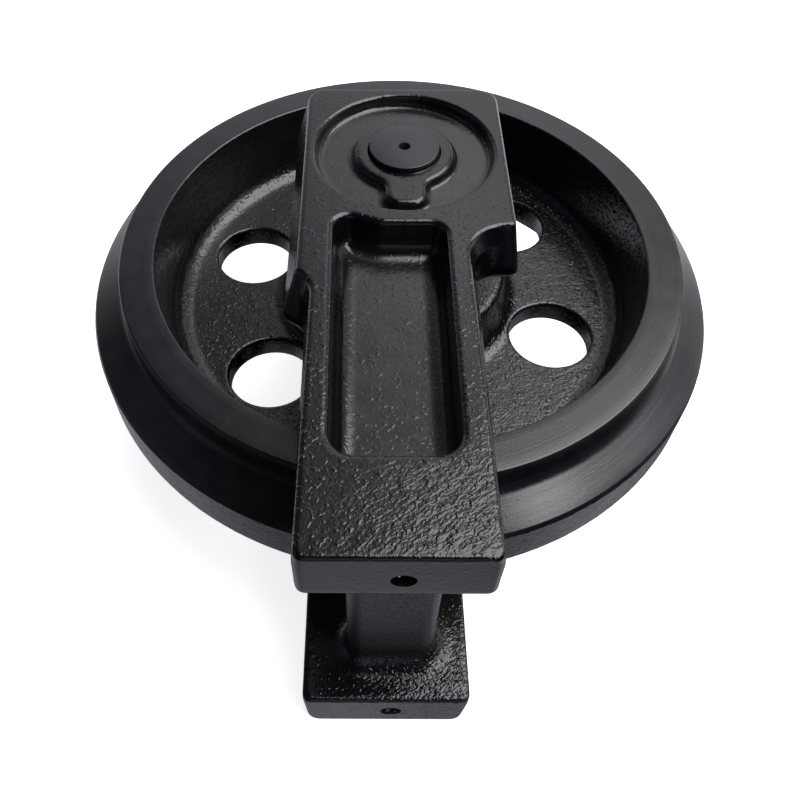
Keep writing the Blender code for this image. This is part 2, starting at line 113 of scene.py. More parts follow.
# -------------------------------------------------------------------- noise
def cell_noise(points, cell, seed):
    """Smooth noise from 0 to 1 over the points, about one hill per cell."""
    tilt = np.array(Euler((0.61 + seed, 1.13 * seed, 0.37 + 0.7 * seed)).to_matrix())
    q = (points @ tilt.T) / cell + 1000.0
    i = np.floor(q).astype(np.int64)
    f = q - i
    f = f * f * f * (f * (f * 6.0 - 15.0) + 10.0)
    out = np.zeros(len(points))
    for dx in (0, 1):
        for dy in (0, 1):
            for dz in (0, 1):
                n = ((i[:, 0] + dx) * 73856093) ^ ((i[:, 1] + dy) * 19349663) \
                    ^ ((i[:, 2] + dz) * 83492791) ^ (seed * 39916801 + 12345)
                n &= 0xFFFFFFFF
                n = ((n ^ (n >> 15)) * 2246822519) & 0xFFFFFFFF
                n = ((n ^ (n >> 13)) * 3266489917) & 0xFFFFFFFF
                n = (n ^ (n >> 16)) & 0xFFFF
                w = ((f[:, 0] if dx else 1.0 - f[:, 0])
                     * (f[:, 1] if dy else 1.0 - f[:, 1])
                     * (f[:, 2] if dz else 1.0 - f[:, 2]))
                out += w * n / 65535.0
    return out


def step(low, high, value):
    t = np.clip((value - low) / (high - low), 0.0, 1.0)
    return t * t * (3.0 - 2.0 * t)


# ------------------------------------------------------- outlines and solids
def offset_outline(corners, off):
    count, out = len(corners), []
    for i, (x, y, r) in enumerate(corners):
        p, c, q = (Vector(corners[i - 1][:2]), Vector((x, y)),
                   Vector(corners[(i + 1) % count][:2]))
        a, b = (c - p).normalized(), (q - c).normalized()
        na, nb = Vector((a.y, -a.x)), Vector((b.y, -b.x))
        bis = (na + nb).normalized()
        new = c + bis * (off / bis.dot(na))
        convex = a.x * b.y - a.y * b.x > 0.0
        out.append((new.x, new.y, max(0.4, r + off if convex else r - off)))
    return out


def blend_outline(one, two, t):
    return [tuple(u + (v - u) * t for u, v in zip(a, b))
            for a, b in zip(one, two)]


def outline_points(corners, segments):
    count, pts = len(corners), []
    for i, (x, y, r) in enumerate(corners):
        p, c, q = (Vector(corners[i - 1][:2]), Vector((x, y)),
                   Vector(corners[(i + 1) % count][:2]))
        a, b = (p - c).normalized(), (q - c).normalized()
        half = a.angle(b) / 2.0
        centre = c + (a + b).normalized() * (r / math.sin(half))
        run = r / math.tan(half)
        s, e = c + a * run - centre, c + b * run - centre
        a0, a1 = math.atan2(s.y, s.x), math.atan2(e.y, e.x)
        turn = (a1 - a0 + math.pi) % (2.0 * math.pi) - math.pi
        for k in range(segments + 1):
            ang = a0 + turn * k / segments
            pts.append((centre.x + r * math.cos(ang),
                        centre.y + r * math.sin(ang)))
    return pts


def circle_points(r, count):
    return [(r * math.cos(2 * math.pi * k / count),
             r * math.sin(2 * math.pi * k / count)) for k in range(count)]


def keyhole_points(off, segments):
    ring, half, end, tip, fil = 29.2 + off, 11.7 + off, 45.3 + off, 8.5 + off, 8.5 - off
    fy = -math.sqrt((ring + fil) ** 2 - (half + fil) ** 2)
    pts = []
    start = math.atan2(fy, half + fil)
    stop = math.atan2(fy, -half - fil) + 2 * math.pi
    for k in range(8 * segments + 1):
        a = start + (stop - start) * k / (8 * segments)
        pts.append((ring * math.cos(a), ring * math.sin(a)))
    a0 = math.atan2(-fy, half + fil)
    for k in range(1, segments):
        a = a0 + (0.0 - a0) * k / segments
        pts.append((-half - fil + fil * math.cos(a), fy + fil * math.sin(a)))
    for k in range(segments + 1):
        a = math.pi + 0.5 * math.pi * k / segments
        pts.append((-half + tip + tip * math.cos(a), -end + tip + tip * math.sin(a)))
    for k in range(segments + 1):
        a = -0.5 * math.pi + 0.5 * math.pi * k / segments
        pts.append((half - tip + tip * math.cos(a), -end + tip + tip * math.sin(a)))
    for k in range(1, segments):
        a = math.pi + (math.atan2(-fy, -half - fil) - math.pi) * k / segments
        pts.append((half + fil + fil * math.cos(a), fy + fil * math.sin(a)))
    return pts


def new_object(name, mesh):
    ob = bpy.data.objects.new(name, mesh)
    look.objects.link(ob)
    return ob


def loft(name, rings, side):
    """Closed body through rings (h, points) of equal count."""
    bm = bmesh.new()
    levels = [[bm.verts.new((x * MM, (y + AXLE_Y) * MM, (MID_Z + side * h) * MM))
               for x, y in pts] for h, pts in rings]
    for low, high in zip(levels, levels[1:]):
        for k in range(len(low)):
            n = (k + 1) % len(low)
            bm.faces.new((low[k], low[n], high[n], high[k]))
    bm.faces.new(levels[0])
    bm.faces.new(levels[-1])
    bmesh.ops.recalc_face_normals(bm, faces=bm.faces)
    mesh = bpy.data.meshes.new(name)
    bm.to_mesh(mesh)
    bm.free()
    return new_object(name, mesh)


def rod(name, radius, start, end, sides, chamfer=0.0):
    """Cylinder between two points given as x, y, h about the axle."""
    a = Vector((start[0], start[1] + AXLE_Y, start[2] + MID_Z)) * MM
    b = Vector((end[0], end[1] + AXLE_Y, end[2] + MID_Z)) * MM
    bm = bmesh.new()
    bmesh.ops.create_cone(bm, cap_ends=True, segments=sides, radius1=radius * MM,
                          radius2=radius * MM, depth=(b - a).length)
    if chamfer > 0.0:
        rim = [e for e in bm.edges if any(len(f.verts) > 4 for f in e.link_faces)]
        bmesh.ops.bevel(bm, geom=rim, offset=chamfer * MM, segments=3,
                        profile=0.5, affect="EDGES")
    turn = (b - a).to_track_quat("Z", "Y").to_matrix().to_4x4()
    bmesh.ops.transform(bm, matrix=Matrix.Translation((a + b) / 2.0) @ turn,
                        verts=bm.verts)
    mesh = bpy.data.meshes.new(name)
    bm.to_mesh(mesh)
    bm.free()
    return new_object(name, mesh)


def revolve(name, profile, steps, place=None):
    """Closed mesh of a profile (radius, h) turned round the axle's line.

    The profile runs down its outer side.  It is a closed loop, or starts and
    ends on the axis.  place moves the result from the axle's frame."""
    on_axis = profile[0][0] < 1e-6
    rad = np.array([p[0] for p in profile])
    hgt = np.array([p[1] for p in profile])
    ang = np.arange(steps) * 2.0 * math.pi / steps
    ring_ids = list(range(len(profile)))
    verts, faces, index = [], [], {}
    total = 0
    for j in ring_ids:
        if rad[j] < 1e-6:
            index[j] = [total] * steps
            verts.append(np.array([[0.0, 0.0, hgt[j]]]))
            total += 1
        else:
            index[j] = list(range(total, total + steps))
            verts.append(np.stack([rad[j] * np.cos(ang), rad[j] * np.sin(ang),
                                   np.full(steps, hgt[j])], axis=1))
            total += steps
    pairs = list(zip(ring_ids, ring_ids[1:]))
    if not on_axis:
        pairs.append((ring_ids[-1], ring_ids[0]))
    for a, b in pairs:
        ia, ib = index[a], index[b]
        for k in range(steps):
            n = (k + 1) % steps
            quad = [ia[k], ib[k], ib[n], ia[n]]
            face = [v for i, v in enumerate(quad) if v not in quad[:i]]
            faces.append(face)
    pts = np.concatenate(verts)
    if place is None:
        pts = pts + np.array([0.0, AXLE_Y, MID_Z])
        pts = pts * MM
    else:
        flat = np.concatenate([pts * MM, np.ones((len(pts), 1))], axis=1)
        pts = (flat @ np.array(place).T)[:, :3]
    mesh = bpy.data.meshes.new(name)
    mesh.from_pydata(pts.tolist(), [], faces)
    mesh.update()
    return new_object(name, mesh)


def baked(ob):
    """Applies the object's modifiers."""
    deps = bpy.context.evaluated_depsgraph_get()
    deps.update()
    mesh = bpy.data.meshes.new_from_object(ob.evaluated_get(deps))
    old = ob.data
    ob.modifiers.clear()
    ob.data = mesh
    bpy.data.meshes.remove(old)
    return ob


def combine(ob, others, operation, solver="EXACT"):
    for other in others:
        mod = ob.modifiers.new(other.name, "BOOLEAN")
        mod.object = other
        mod.operation = operation
        mod.solver = solver
    baked(ob)
    for other in others:
        data = other.data
        bpy.data.objects.remove(other, do_unlink=True)
        bpy.data.meshes.remove(data)
    return ob


def voxels(ob, size):
    mod = ob.modifiers.new("voxels", "REMESH")
    mod.mode = "VOXEL"
    mod.voxel_size = size * MM
    mod.use_smooth_shade = True
    return baked(ob)


def positions(mesh):
    co = np.empty(len(mesh.vertices) * 3)
    mesh.vertices.foreach_get("co", co)
    return co.reshape(-1, 3)


def set_positions(mesh, co):
    mesh.vertices.foreach_set("co", co.ravel())
    mesh.update()


def vertex_normals(mesh):
    no = np.empty(len(mesh.vertices) * 3)
    mesh.vertex_normals.foreach_get("vector", no)
    return no.reshape(-1, 3)


def relax(mesh, times, share=0.5):
    """Evens the surface out, which rounds its corners and roots."""
    co = positions(mesh)
    ed = np.empty(len(mesh.edges) * 2, dtype=np.int32)
    mesh.edges.foreach_get("vertices", ed)
    e0, e1 = ed[0::2], ed[1::2]
    n = len(co)
    deg = np.maximum(np.bincount(e0, minlength=n) + np.bincount(e1, minlength=n), 1)
    for _ in range(times):
        mean = np.empty_like(co)
        for k in range(3):
            mean[:, k] = (np.bincount(e0, weights=co[e1, k], minlength=n)
                          + np.bincount(e1, weights=co[e0, k], minlength=n)) / deg
        co += share * (mean - co)
    set_positions(mesh, co)


def axle_frame(co):
    """x, y, h in millimetres about the axle."""
    out = co / MM
    out[:, 1] -= AXLE_Y
    out[:, 2] -= MID_Z
    return out


def cast_relief(p, fine=1.0, coarse=1.0):
    """Height of the rough cast skin at points p, in millimetres."""
    c, v = math.cos(math.radians(36.0)), math.sin(math.radians(36.0))
    along = (p[:, 0] * c + p[:, 1] * v) * 0.45
    across = -p[:, 0] * v + p[:, 1] * c
    q = np.stack([along, across, p[:, 2]], axis=1)
    fold = 1.0 - np.abs(2.0 * cell_noise(q, 2.3, 3) - 1.0)
    d = 0.075 * fine * (fold - 0.5) * 2.0
    d += 0.060 * fine * (cell_noise(p, 2.1, 1) - 0.5) * 2.0
    d += 0.050 * fine * (cell_noise(p, 4.2, 2) - 0.5) * 2.0
    d += 0.050 * coarse * (cell_noise(p, 9.0, 4) - 0.5) * 2.0
    d += 0.060 * coarse * (cell_noise(p, 31.0, 5) - 0.5) * 2.0
    grit = np.clip((cell_noise(p, 2.6, 6) - 0.80) / 0.2, 0.0, 1.0)
    return d + 0.16 * fine * grit


# ---------------------------------------------------------------- materials
def principled(name, base, rough, metallic=0.0, specular=0.5):
    mat = bpy.data.materials.new(name)
    mat.use_nodes = True
    tree = mat.node_tree
    bsdf = tree.nodes["Principled BSDF"]
    bsdf.inputs["Base Color"].default_value = (*base, 1.0)
    bsdf.inputs["Roughness"].default_value = rough
    bsdf.inputs["Metallic"].default_value = metallic
    bsdf.inputs["Specular IOR Level"].default_value = specular
    return mat, tree, bsdf


def node(tree, kind, **values):
    made = tree.nodes.new(kind)
    for key, value in values.items():
        if hasattr(made, key):
            setattr(made, key, value)
        else:
            made.inputs[key].default_value = value
    return made


def noise_node(tree, coords, scale, detail=2.0, rough=0.5, distortion=0.0):
    n = node(tree, "ShaderNodeTexNoise")
    n.inputs["Scale"].default_value = scale
    n.inputs["Detail"].default_value = detail
    n.inputs["Roughness"].default_value = rough
    n.inputs["Distortion"].default_value = distortion
    tree.links.new(coords, n.inputs["Vector"])
    return n.outputs["Fac"]


def remap(tree, value, from_low, from_high, to_low, to_high):
    n = node(tree, "ShaderNodeMapRange")
    n.inputs["From Min"].default_value = from_low
    n.inputs["From Max"].default_value = from_high
    n.inputs["To Min"].default_value = to_low
    n.inputs["To Max"].default_value = to_high
    tree.links.new(value, n.inputs["Value"])
    return n.outputs["Result"]


def maths(tree, op, a, b=None):
    n = node(tree, "ShaderNodeMath")
    n.operation = op
    for k, v in enumerate((a, b)):
        if v is None:
            continue
        if isinstance(v, (int, float)):
            n.inputs[k].default_value = v
        else:
            tree.links.new(v, n.inputs[k])
    return n.outputs[0]


def two_colours(tree, fac, one, two):
    n = node(tree, "ShaderNodeMix")
    n.data_type = "RGBA"
    n.inputs[6].default_value = (*one, 1.0)
    n.inputs[7].default_value = (*two, 1.0)
    tree.links.new(fac, n.inputs[0])
    return n.outputs[2]


def bump(tree, height, distance, strength, onto=None):
    n = node(tree, "ShaderNodeBump")
    n.inputs["Strength"].default_value = strength
    n.inputs["Distance"].default_value = distance
    tree.links.new(height, n.inputs["Height"])
    if onto is not None:
        tree.links.new(onto, n.inputs["Normal"])
    return n.outputs["Normal"]


def object_axes(tree):
    """The object coordinates and their X, Y, Z."""
    obj = node(tree, "ShaderNodeTexCoord").outputs["Object"]
    split = node(tree, "ShaderNodeSeparateXYZ")
    tree.links.new(obj, split.inputs[0])
    return obj, split.outputs["X"], split.outputs["Y"], split.outputs["Z"]


def painted_casting(name, dark, pale, dusty, rough_low, rough_high, roughness_map,
                    dust_and_light_map, drawn=1.0):
    """Semi-gloss black paint over a sand-cast skin.

    The two maps take the tree and the X, Y, Z outputs and give how coarse the skin is,
    how much dust lies on it, and where a lighter grey is painted in as painted light,
    from place to place.  drawn is the share of its long, drawn out wrinkles."""
    mat, tree, bsdf = principled(name, dark, 0.4)
    obj, x, y, z = object_axes(tree)
    creased, coarse = roughness_map(tree, x, y, z)
    patch = noise_node(tree, obj, 38.0, 4.0, 0.6)
    speck = noise_node(tree, obj, 420.0, 3.0, 0.6)
    tone = maths(tree, "ADD", maths(tree, "MULTIPLY", patch, 0.6),
                 maths(tree, "MULTIPLY", speck, 0.4))
    colour = two_colours(tree, remap(tree, tone, 0.38, 0.62, 0.0, 1.0), dark, pale)
    lie = node(tree, "ShaderNodeSeparateXYZ")
    tree.links.new(node(tree, "ShaderNodeTexCoord").outputs["Normal"], lie.inputs[0])
    flat_dust, painted_light_mask = dust_and_light_map(tree, x, y, z)
    dust = maths(tree, "MULTIPLY", flat_dust,
                 remap(tree, noise_node(tree, obj, 70.0, 3.0, 0.6), 0.30, 0.70, 0.35, 1.0))
    dust = maths(tree, "MULTIPLY", dust, remap(tree, lie.outputs["Z"], 0.80, 0.98, 0.0, 1.0))
    mix = node(tree, "ShaderNodeMix")
    mix.data_type = "RGBA"
    tree.links.new(dust, mix.inputs[0])
    tree.links.new(colour, mix.inputs[6])
    mix.inputs[7].default_value = (*dusty, 1.0)
    # Where the second map is set, a lighter grey is mixed in and the paint made rougher: painted
    # light on the lower bracket's leg, not wear or dust.
    tone_mix = node(tree, "ShaderNodeMix")
    tone_mix.data_type = "RGBA"
    tree.links.new(painted_light_mask, tone_mix.inputs[0])
    tree.links.new(mix.outputs[2], tone_mix.inputs[6])
    tone_mix.inputs[7].default_value = (0.036, 0.035, 0.037, 1.0)
    tree.links.new(tone_mix.outputs[2], bsdf.inputs["Base Color"])
    gloss = maths(tree, "ADD", maths(tree, "MULTIPLY", noise_node(tree, obj, 90.0, 3.0), 0.5),
                  maths(tree, "MULTIPLY", noise_node(tree, obj, 700.0, 2.0), 0.5))
    gloss = maths(tree, "ADD", remap(tree, gloss, 0.35, 0.65, rough_low, rough_high),
                  maths(tree, "MULTIPLY", painted_light_mask, 0.22))
    tree.links.new(gloss, bsdf.inputs["Roughness"])
    turn = node(tree, "ShaderNodeMapping")
    turn.inputs["Rotation"].default_value = (0.0, 0.0, math.radians(-36.0))
    tree.links.new(obj, turn.inputs["Vector"])
    draw = node(tree, "ShaderNodeMapping")
    draw.inputs["Scale"].default_value = (0.42, 1.0, 1.0)
    tree.links.new(turn.outputs[0], draw.inputs["Vector"])
    fold = maths(tree, "MULTIPLY", noise_node(tree, draw.outputs[0], 600.0, 1.0, 0.5, 0.6),
                 creased)
    peel = maths(tree, "MULTIPLY", noise_node(tree, obj, 640.0, 1.0, 0.5, 0.2), coarse)
    grit = remap(tree, noise_node(tree, obj, 480.0, 0.0), 0.62, 0.80, 0.0, 1.0)
    grit = maths(tree, "MULTIPLY", grit, maths(tree, "ADD", coarse, 0.25))
    grain = noise_node(tree, obj, 1500.0, 1.0, 0.5)
    n = bump(tree, fold, 0.00037 * drawn, 1.0)
    n = bump(tree, peel, 0.00018, 1.0, n)
    n = bump(tree, grit, 0.00020, 1.0, n)
    n = bump(tree, grain, 0.000045, 1.0, n)
    tree.links.new(n, bsdf.inputs["Normal"])
    return mat


def bracket_coarseness(tree, x, y, z):
    """Smooth head, grainy arm, and long wrinkles on the right of the tail."""
    arm = remap(tree, y, -0.030, -0.085, 0.16, 0.48)
    tail = remap(tree, y, -0.155, -0.200, 0.0, 1.0)
    side = remap(tree, x, -0.036, 0.016, 0.04, 1.0)
    end = remap(tree, y, -0.2235, -0.2215, 0.50, 1.0)
    low = remap(tree, z, 0.060, 0.070, 1.5, 1.0)
    sunk = maths(tree, "MAXIMUM", remap(tree, z, 0.2315, 0.2335, 0.35, 1.0),
                 remap(tree, z, 0.165, 0.175, 1.0, 0.0))
    drawn = maths(tree, "MULTIPLY", maths(tree, "MULTIPLY", tail, side), low)
    both = maths(tree, "ADD", arm, maths(tree, "MULTIPLY", drawn,
                                         remap(tree, z, 0.060, 0.070, 1.3, 0.6)))
    creased = maths(tree, "MULTIPLY", maths(tree, "ADD", drawn, 0.10), end)
    even = maths(tree, "MULTIPLY", both, end)
    return maths(tree, "MULTIPLY", creased, sunk), maths(tree, "MULTIPLY", even, sunk)


def bracket_dust_and_light(tree, x, y, z):
    """Dust in the recess and on the pocket's floor, and a lighter grey on the leg that is
    painted light.
    """
    low = remap(tree, maths(tree, "ABSOLUTE", maths(tree, "SUBTRACT", z, MID_Z * MM)),
                0.1138, 0.1122, 0.0, 1.0)
    # The leg mask marks where a lighter grey is painted on the lower bracket's leg: painted
    # light, not dust.
    leg = maths(tree, "MULTIPLY", remap(tree, z, 0.046, 0.064, 0.0, 1.0),
                remap(tree, z, 0.182, 0.176, 0.0, 1.0))
    leg = maths(tree, "MULTIPLY", leg, remap(tree, y, -0.172, -0.178, 0.0, 1.0))
    return maths(tree, "MULTIPLY", low, remap(tree, y, -0.205, -0.190, 0.0, 1.0)), leg


def web_coarseness(tree, x, y, z):
    grain = remap(tree, x, -0.150, 0.080, 0.70, 1.15)
    return grain, grain


def web_dust_and_light(tree, x, y, z):
    return remap(tree, z, 0.150, 0.125, 0.15, 1.0), remap(tree, z, 0.50, 0.51, 0.0, 0.0)


def painted_turned(name, dark, pale, rough_low, rough_high, lines=1.0):
    """Thin black paint over a surface turned on a lathe about the axle."""
    mat, tree, bsdf = principled(name, dark, 0.4)
    obj = node(tree, "ShaderNodeTexCoord").outputs["Object"]
    split = node(tree, "ShaderNodeSeparateXYZ")
    tree.links.new(obj, split.inputs[0])
    x, z = split.outputs["X"], split.outputs["Z"]
    y = maths(tree, "SUBTRACT", split.outputs["Y"], AXLE_Y * MM)
    rad = maths(tree, "SQRT", maths(tree, "ADD", maths(tree, "MULTIPLY", x, x),
                                    maths(tree, "MULTIPLY", y, y)))
    both = node(tree, "ShaderNodeCombineXYZ")
    tree.links.new(rad, both.inputs["X"])
    tree.links.new(z, both.inputs["Z"])
    cut = noise_node(tree, both.outputs[0], 1300.0, 3.0, 0.65)
    wide = noise_node(tree, both.outputs[0], 160.0, 2.0)
    blot = noise_node(tree, obj, 60.0, 3.0, 0.6)
    tone_mix = maths(tree, "ADD", maths(tree, "MULTIPLY", blot, 0.4),
                 maths(tree, "MULTIPLY", cut, 0.6))
    colour = two_colours(tree, remap(tree, tone_mix, 0.38, 0.62, 0.0, 1.0), dark, pale)
    tree.links.new(colour, bsdf.inputs["Base Color"])
    gloss = maths(tree, "ADD", maths(tree, "MULTIPLY", wide, 0.3),
                  maths(tree, "ADD", maths(tree, "MULTIPLY", blot, 0.25),
                        maths(tree, "MULTIPLY", cut, 0.45)))
    tree.links.new(remap(tree, gloss, 0.35, 0.65, rough_low, rough_high),
                   bsdf.inputs["Roughness"])
    n = bump(tree, cut, 0.00011, 0.8 * lines)
    n = bump(tree, noise_node(tree, obj, 620.0, 2.0, 0.5), 0.00012, 0.45, n)
    tree.links.new(n, bsdf.inputs["Normal"])
    return mat


def bare_metal(name, base, rough, metallic=1.0):
    """Machined metal with lathe marks about the axle and mild staining."""
    mat, tree, bsdf = principled(name, base, rough, metallic)
    obj = node(tree, "ShaderNodeTexCoord").outputs["Object"]
    split = node(tree, "ShaderNodeSeparateXYZ")
    tree.links.new(obj, split.inputs[0])
    both = node(tree, "ShaderNodeCombineXYZ")
    x = split.outputs["X"]
    y = maths(tree, "SUBTRACT", split.outputs["Y"], AXLE_Y * MM)
    rad = maths(tree, "SQRT", maths(tree, "ADD", maths(tree, "MULTIPLY", x, x),
                                    maths(tree, "MULTIPLY", y, y)))
    tree.links.new(rad, both.inputs["X"])
    tree.links.new(split.outputs["Z"], both.inputs["Z"])
    marks = noise_node(tree, both.outputs[0], 2200.0, 3.0, 0.6)
    stain = noise_node(tree, obj, 120.0, 4.0, 0.6)
    darker = tuple(0.72 * c for c in base)
    tree.links.new(two_colours(tree, remap(tree, stain, 0.35, 0.65, 0.0, 1.0),
                               darker, base), bsdf.inputs["Base Color"])
    tree.links.new(remap(tree, marks, 0.3, 0.7, rough * 0.8, rough * 1.25),
                   bsdf.inputs["Roughness"])
    tree.links.new(bump(tree, marks, 0.00004, 0.4), bsdf.inputs["Normal"])
    return mat


def rubber(name):
    mat, tree, bsdf = principled(name, (0.012, 0.012, 0.012), 0.6, 0.0, 0.4)
    obj = node(tree, "ShaderNodeTexCoord").outputs["Object"]
    bloom = noise_node(tree, obj, 260.0, 4.0, 0.6)
    tree.links.new(two_colours(tree, remap(tree, bloom, 0.4, 0.7, 0.0, 1.0),
                               (0.010, 0.010, 0.010), (0.030, 0.030, 0.029)),
                   bsdf.inputs["Base Color"])
    tree.links.new(remap(tree, bloom, 0.3, 0.7, 0.5, 0.75), bsdf.inputs["Roughness"])
    tree.links.new(bump(tree, noise_node(tree, obj, 1800.0, 2.0), 0.00003, 0.4),
                   bsdf.inputs["Normal"])
    return mat


CASTING = painted_casting("casting_paint", (0.0013, 0.0013, 0.0017),
                          (0.0030, 0.0030, 0.0034), (0.0150, 0.0130, 0.0110),
                          0.11, 0.20, bracket_coarseness, bracket_dust_and_light)
WHEEL_CAST = painted_casting("wheel_cast_paint", (0.0018, 0.0017, 0.0017),
                             (0.0040, 0.0037, 0.0035), (0.0090, 0.0078, 0.0066),
                             0.12, 0.22, web_coarseness, web_dust_and_light, 0.25)
TURNED = painted_turned("wheel_turned_paint", (0.002, 0.002, 0.003),
                        (0.008, 0.008, 0.009), 0.18, 0.30)
MACHINED = bare_metal("machined_iron", (0.30, 0.29, 0.28), 0.35)
END_PAINT = painted_turned("shaft_end_paint", (0.005, 0.005, 0.006),
                           (0.008, 0.008, 0.009), 0.22, 0.28, 0.12)
# Near-black, rough material for the oil bore's wall and its plug: painted shade that makes the
# hole read dark.
BORE_SHADE_PAINT = painted_turned("oil_bore_painted_shade", (0.0003, 0.0003, 0.0003),
                            (0.0008, 0.0008, 0.0008), 0.50, 0.70, 0.2)
BRONZE = bare_metal("bronze_bush", (0.60, 0.38, 0.15), 0.30)
RING_IRON = bare_metal("lapped_ring_iron", (0.42, 0.42, 0.43), 0.20)
RUBBER = rubber("nitrile_rubber")


def smooth(ob, degrees=40.0):
    ob.data.shade_smooth()
    ob.data.set_sharp_from_angle(angle=math.radians(degrees))


def dress(ob, *mats):
    ob.data.materials.clear()
    for mat in mats:
        ob.data.materials.append(mat)


# -------------------------------------------------------------- idler wheel
def fillet(corner, before, after, radius, steps):
    c, a, b = Vector(corner), Vector(before), Vector(after)
    u, v = (a - c).normalized(), (b - c).normalized()
    half = u.angle(v) / 2.0
    centre = c + (u + v).normalized() * (radius / math.sin(half))
    run = radius / math.tan(half)
    s, e = c + u * run - centre, c + v * run - centre
    a0, a1 = math.atan2(s.y, s.x), math.atan2(e.y, e.x)
    turn = (a1 - a0 + math.pi) % (2.0 * math.pi) - math.pi
    return [(centre.x + radius * math.cos(a0 + turn * k / steps),
             centre.y + radius * math.sin(a0 + turn * k / steps))
            for k in range(steps + 1)]


def wheel_profile():
    rows = [
        (SEAL_BORE_R + 1.2, HUB_HALF, 0.3, 2),
        (HUB_R, HUB_HALF, 2.0, 4),
        (HUB_R, COLLAR_TOP, 6.0, 8),
        (69.2, COLLAR_TOP, 4.5, 7),
        (74.6, WEB_TOP, 11.0, 12),
        (148.9, WEB_TOP, 13.0, 14),
        (RIM_INNER_R, RIM_HALF, 1.3, 5),
        (TREAD_R, RIM_HALF, 1.7, 7),
        (TREAD_R, 28.98, 9.0, 14),
        (198.6, 16.43, 0.9, 3),
        (FLANGE_R, 13.6, 0.9, 3),
        (FLANGE_R, -13.6, 0.9, 3),
        (198.6, -16.43, 0.9, 3),
        (TREAD_R, -28.98, 9.0, 14),
        (TREAD_R, -RIM_HALF, 1.7, 7),
        (RIM_INNER_R, -RIM_HALF, 1.3, 5),
        (151.6, WEB_BOTTOM, 13.0, 12),
        (72.6, WEB_BOTTOM, 9.0, 10),
        (69.2, COLLAR_BOTTOM, 4.5, 7),
        (HUB_R, COLLAR_BOTTOM, 6.0, 8),
        (HUB_R, -HUB_HALF, 2.0, 4),
        (SEAL_BORE_R + 1.2, -HUB_HALF, 0.3, 2),
        (SEAL_BORE_R, -HUB_HALF + 1.2, 0, 0),
        (SEAL_BORE_R, -SEAL_FLOOR, 0, 0),
        (HUB_BORE_R, -SEAL_FLOOR, 0, 0),
        (HUB_BORE_R, -11.0, 0, 0),
        (30.0, -9.0, 0, 0),
        (30.0, 9.0, 0, 0),
        (HUB_BORE_R, 11.0, 0, 0),
        (HUB_BORE_R, SEAL_FLOOR, 0, 0),
        (SEAL_BORE_R, SEAL_FLOOR, 0, 0),
        (SEAL_BORE_R, HUB_HALF - 1.2, 0, 0)]
    out = []
    for i, (r, h, fil, steps) in enumerate(rows):
        if fil <= 0.0:
            out.append((r, h))
        else:
            out += fillet((r, h), rows[i - 1][:2], rows[(i + 1) % len(rows)][:2],
                          fil, steps)
    fine = []
    for i, (r, h) in enumerate(out):
        r2, h2 = out[(i + 1) % len(out)]
        length = math.hypot(r2 - r, h2 - h)
        rm, hm = (r + r2) / 2.0, (h + h2) / 2.0
        turned_zone = rm > 156.6 and (abs(hm) > 14.2 or rm < 199.0)
        limit = 6.0 if rm < 36.5 or turned_zone else 1.35
        parts = max(1, int(math.ceil(length / limit)))
        fine += [(r + (r2 - r) * k / parts, h + (h2 - h) * k / parts)
                 for k in range(parts)]
    return fine


def wheel_zones(r, h):
    """1 on turned faces, 2 inside the hub, 0 on the cast skin."""
    turned_zone = (r > 156.9) & ((np.abs(h) > 14.3) | (r < 199.0))
    inside = (r < 36.3) | ((r < 45.5) & (np.abs(h) > 59.7))
    return np.where(inside, 2, np.where(turned_zone, 1, 0))


